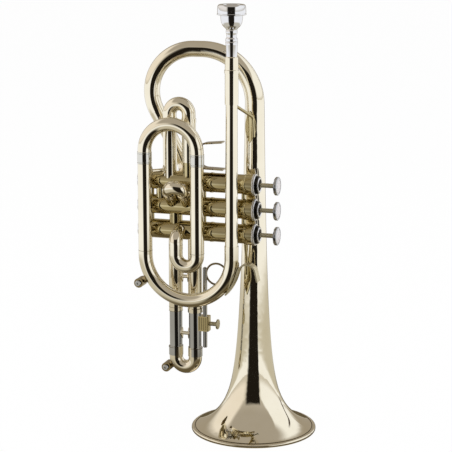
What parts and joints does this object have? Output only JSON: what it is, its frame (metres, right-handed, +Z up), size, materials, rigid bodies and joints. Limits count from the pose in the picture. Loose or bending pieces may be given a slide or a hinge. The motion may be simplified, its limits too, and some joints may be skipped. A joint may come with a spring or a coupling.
{
  "type": "cornet",
  "caption": "Shepherd's-crook piston cornet standing on its bell, with pull slides, water keys, thumb saddle, adjustable finger ring and removable mouthpiece.",
  "frame": {"origin": "centre of the bell's rim plane, where the instrument stands", "axes": "+Z up the bell, +X towards the finger buttons, -Y towards the leadpipe"},
  "size_m": [0.1665, 0.1206, 0.4129],
  "materials": {
    "lacquered_brass": "clear lacquer over polished brass",
    "silver_plate": "polished silver plate",
    "nickel_silver": "polished nickel silver",
    "nickel_alloy": "honed nickel alloy",
    "spring_steel": "drawn spring wire",
    "shell_inlay": "polished shell",
    "felt": "pressed wool felt",
    "rim_wire": "drawn steel wire",
    "guide_nylon": "moulded nylon"
  },
  "bodies": {
    "cornet": {"bell": "lacquered_brass", "bell_braces": "lacquered_brass", "bell_crook": "lacquered_brass", "bell_rim_wire": "rim_wire", "bottom_caps": "silver_plate", "bow_key_barrel": "lacquered_brass", "cap_felts": "felt", "casing_knuckles": "lacquered_brass", "casing_posts": "lacquered_brass", "casing_spacers": "lacquered_brass", "entry_bow": "lacquered_brass", "first_fixed_tube": "nickel_silver", "first_outer_tube": "lacquered_brass", "lead_bow": "lacquered_brass", "leadpipe": "lacquered_brass", "leadpipe_sleeve": "lacquered_brass", "main_outer_tubes": "lacquered_brass", "mouthpiece_receiver": "lacquered_brass", "pinky_hook": "lacquered_brass", "second_outer_tubes": "lacquered_brass", "slide_braces": "lacquered_brass", "third_outer_tubes": "lacquered_brass", "top_caps": "silver_plate", "valve_casing_1": "lacquered_brass", "valve_casing_2": "lacquered_brass", "valve_casing_3": "lacquered_brass", "valve_guides": "guide_nylon", "valve_spring_1": "spring_steel", "valve_spring_2": "spring_steel", "valve_spring_3": "spring_steel"},
    "mouthpiece": {"mouthpiece": "silver_plate"},
    "valve_1": {"piston_1": "nickel_alloy", "finger_button_1": "nickel_silver", "pearl_1": "shell_inlay"},
    "valve_2": {"piston_2": "nickel_alloy", "finger_button_2": "nickel_silver", "pearl_2": "shell_inlay"},
    "valve_3": {"piston_3": "nickel_alloy", "finger_button_3": "nickel_silver", "pearl_3": "shell_inlay"},
    "main_slide": {"main_slide_crook": "lacquered_brass", "main_slide_ferrules": "nickel_silver", "main_slide_tubes": "nickel_silver"},
    "first_slide": {"first_slide_crook": "lacquered_brass", "first_slide_sleeve": "lacquered_brass", "first_slide_tube": "nickel_silver", "thumb_saddle": "lacquered_brass"},
    "second_slide": {"second_slide_crook": "lacquered_brass", "second_slide_tubes": "nickel_silver"},
    "third_slide": {"third_slide_crook": "lacquered_brass", "third_slide_tubes": "nickel_silver", "third_slide_brace": "lacquered_brass", "rod_clamp_block": "lacquered_brass", "third_key_barrel": "lacquered_brass"},
    "ring_rod": {"ring_rod": "nickel_silver", "finger_ring": "lacquered_brass"},
    "thumb_screw": {"thumb_screw": "nickel_silver"},
    "bow_key": {"bow_key_plunger": "nickel_silver"},
    "third_key": {"third_key_plunger": "nickel_silver"}
  },
  "joints": [
    {"name": "valve_1_press", "type": "slide", "parent": "cornet", "child": "valve_1", "axis": [-1, 0, 0], "range_m": [0, 0.0138], "stiffness_N_per_m": 110, "springref_m": -0.014, "deforming": ["valve_spring_1"]},
    {"name": "valve_2_press", "type": "slide", "parent": "cornet", "child": "valve_2", "axis": [-1, 0, 0], "range_m": [0, 0.0138], "stiffness_N_per_m": 110, "springref_m": -0.014, "deforming": ["valve_spring_2"]},
    {"name": "valve_3_press", "type": "slide", "parent": "cornet", "child": "valve_3", "axis": [-1, 0, 0], "range_m": [0, 0.0138], "stiffness_N_per_m": 110, "springref_m": -0.014, "deforming": ["valve_spring_3"]},
    {"name": "main_slide_pull", "type": "slide", "parent": "cornet", "child": "main_slide", "axis": [0, 0, 1], "range_m": [0, 0.045]},
    {"name": "first_slide_pull", "type": "slide", "parent": "cornet", "child": "first_slide", "axis": [0, 0, 1], "range_m": [0, 0.025]},
    {"name": "second_slide_pull", "type": "slide", "parent": "cornet", "child": "second_slide", "axis": [0, -0.7071, 0.7071], "range_m": [0, 0.008]},
    {"name": "third_slide_pull", "type": "slide", "parent": "cornet", "child": "third_slide", "axis": [0, 0, -1], "range_m": [0, 0.04]},
    {"name": "ring_rod_adjust", "type": "slide", "parent": "third_slide", "child": "ring_rod", "axis": [0, 0, 1], "range_m": [-0.02, 0.01]},
    {"name": "thumb_screw_turn", "type": "hinge", "parent": "third_slide", "child": "thumb_screw", "pos_m": [-0.033, -0.026, 0.1086], "axis": [1, 0, 0], "range_deg": [0, 270]},
    {"name": "bow_key_press", "type": "slide", "parent": "cornet", "child": "bow_key", "axis": [0, 1, 0], "range_m": [0, 0.0018], "stiffness_N_per_m": 400, "springref_m": -0.003},
    {"name": "third_key_press", "type": "slide", "parent": "third_slide", "child": "third_key", "axis": [0, 1, 0], "range_m": [0, 0.0018], "stiffness_N_per_m": 400, "springref_m": -0.003},
    {"name": "mouthpiece_lift", "type": "slide", "parent": "cornet", "child": "mouthpiece", "axis": [0, 0, 1], "range_m": [0, 0.03]}
  ]
}
